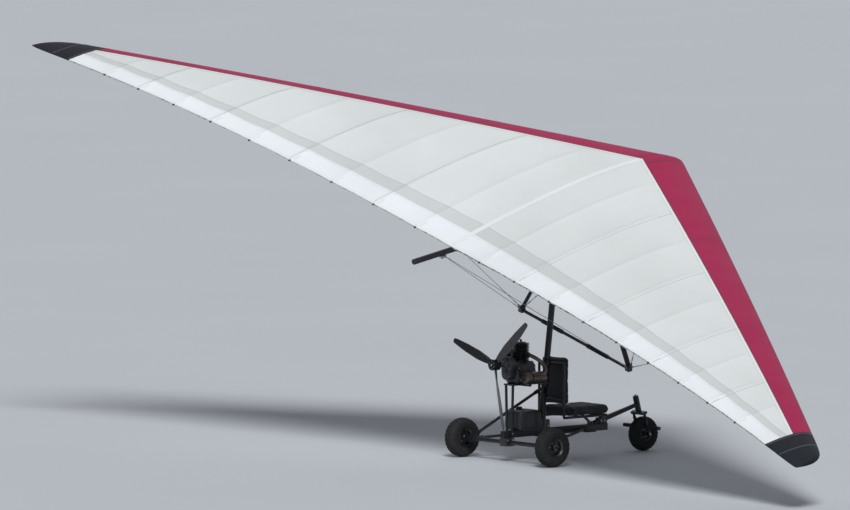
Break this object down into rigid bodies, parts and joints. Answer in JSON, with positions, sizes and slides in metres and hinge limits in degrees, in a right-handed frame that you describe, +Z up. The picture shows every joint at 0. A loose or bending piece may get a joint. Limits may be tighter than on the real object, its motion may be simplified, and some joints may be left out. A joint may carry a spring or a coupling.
{
  "type": "powered hang glider on a three-wheeled chassis",
  "caption": "Light weight-shift aircraft: a topless white flexwing with red leading edges, hung over a single-seat open chassis on wheels with a pusher propeller.",
  "frame": {"origin": "the flat underside of the base beam below the mast foot, 0.2 m above the floor that the wheels stand on", "axes": "+X forward along the base beam, +Y to the pilot's left, +Z up"},
  "size_m": [3.4632, 9.5176, 3.4267],
  "materials": {
    "powder_coat": "satin",
    "cast_alloy": "satin",
    "bare_aluminium": "satin",
    "wheel_alloy": "satin",
    "steel_wire": "satin",
    "tyre_rubber": "matte",
    "seat_cloth": "matte",
    "black_plastic": "satin",
    "tank_plastic": "satin",
    "carbon": "gloss",
    "white_sailcloth": "satin",
    "red_sailcloth": "satin",
    "dark_sailcloth": "satin"
  },
  "bodies": {
    "trike": {"base_beam": "powder_coat", "rest_pad_front": "black_plastic", "rest_pad_rear": "black_plastic", "nose_tube": "powder_coat", "mast": "powder_coat", "mast_foot": "cast_alloy", "rear_axle": "powder_coat", "axle_clamp": "cast_alloy", "upper_strut_left": "powder_coat", "drag_strut_left": "powder_coat", "upper_strut_right": "powder_coat", "drag_strut_right": "powder_coat", "seat_frame": "powder_coat", "seat_cushion": "seat_cloth", "seat_back": "seat_cloth", "engine_mount": "powder_coat", "engine_crankcase": "cast_alloy", "engine_cylinder": "cast_alloy", "reduction_drive": "cast_alloy", "exhaust": "bare_aluminium", "air_filter": "black_plastic", "fuel_tank": "tank_plastic"},
    "propeller": {"propeller": "carbon"},
    "rear_wheel_left": {"rear_tyre_left": "tyre_rubber", "rear_rim_left": "wheel_alloy"},
    "rear_wheel_right": {"rear_tyre_right": "tyre_rubber", "rear_rim_right": "wheel_alloy"},
    "front_fork": {"front_fork": "powder_coat"},
    "front_wheel": {"front_tyre": "tyre_rubber", "front_rim": "wheel_alloy"},
    "hang_joint": {"hang_block": "cast_alloy", "hang_bolt": "steel_wire"},
    "wing": {"keel_tube": "powder_coat", "sail_left": "white_sailcloth", "sail_right": "white_sailcloth", "leading_edge_left": "red_sailcloth", "leading_edge_right": "red_sailcloth", "tip_left": "dark_sailcloth", "tip_right": "dark_sailcloth", "nose_cone": "red_sailcloth", "nose_plate": "bare_aluminium", "frame_head": "cast_alloy", "control_bar": "powder_coat", "upright_left": "powder_coat", "upright_right": "powder_coat", "wire_front_left": "steel_wire", "wire_front_right": "steel_wire", "wire_rear_left": "steel_wire", "wire_rear_right": "steel_wire", "wire_side_left": "steel_wire", "wire_side_right": "steel_wire", "keel_pocket": "white_sailcloth"}
  },
  "joints": [
    {"name": "prop_spin", "type": "hinge", "parent": "trike", "child": "propeller", "pos_m": [-0.52, 0, 0.65], "axis": [1, 0, 0], "continuous": true},
    {"name": "rear_wheel_left_spin", "type": "hinge", "parent": "trike", "child": "rear_wheel_left", "pos_m": [-0.38, 0.6, -0.03], "axis": [0, 1, 0], "continuous": true},
    {"name": "rear_wheel_right_spin", "type": "hinge", "parent": "trike", "child": "rear_wheel_right", "pos_m": [-0.38, -0.6, -0.03], "axis": [0, 1, 0], "continuous": true},
    {"name": "steer", "type": "hinge", "parent": "trike", "child": "front_fork", "pos_m": [1.17, 0, -0.05], "axis": [-0.2588, 0, 0.9659], "range_deg": [-30, 30]},
    {"name": "front_wheel_spin", "type": "hinge", "parent": "front_fork", "child": "front_wheel", "pos_m": [1.17, 0, -0.05], "axis": [0, 1, 0], "continuous": true},
    {"name": "wing_pitch", "type": "hinge", "parent": "trike", "child": "hang_joint", "pos_m": [0.22, 0, 1.82], "axis": [0, -1, 0], "range_deg": [-12, 3]},
    {"name": "wing_roll", "type": "hinge", "parent": "hang_joint", "child": "wing", "pos_m": [0.20283, 0, 1.90835], "axis": [0.9816, 0, 0.1908], "range_deg": [-39, 3]}
  ]
}
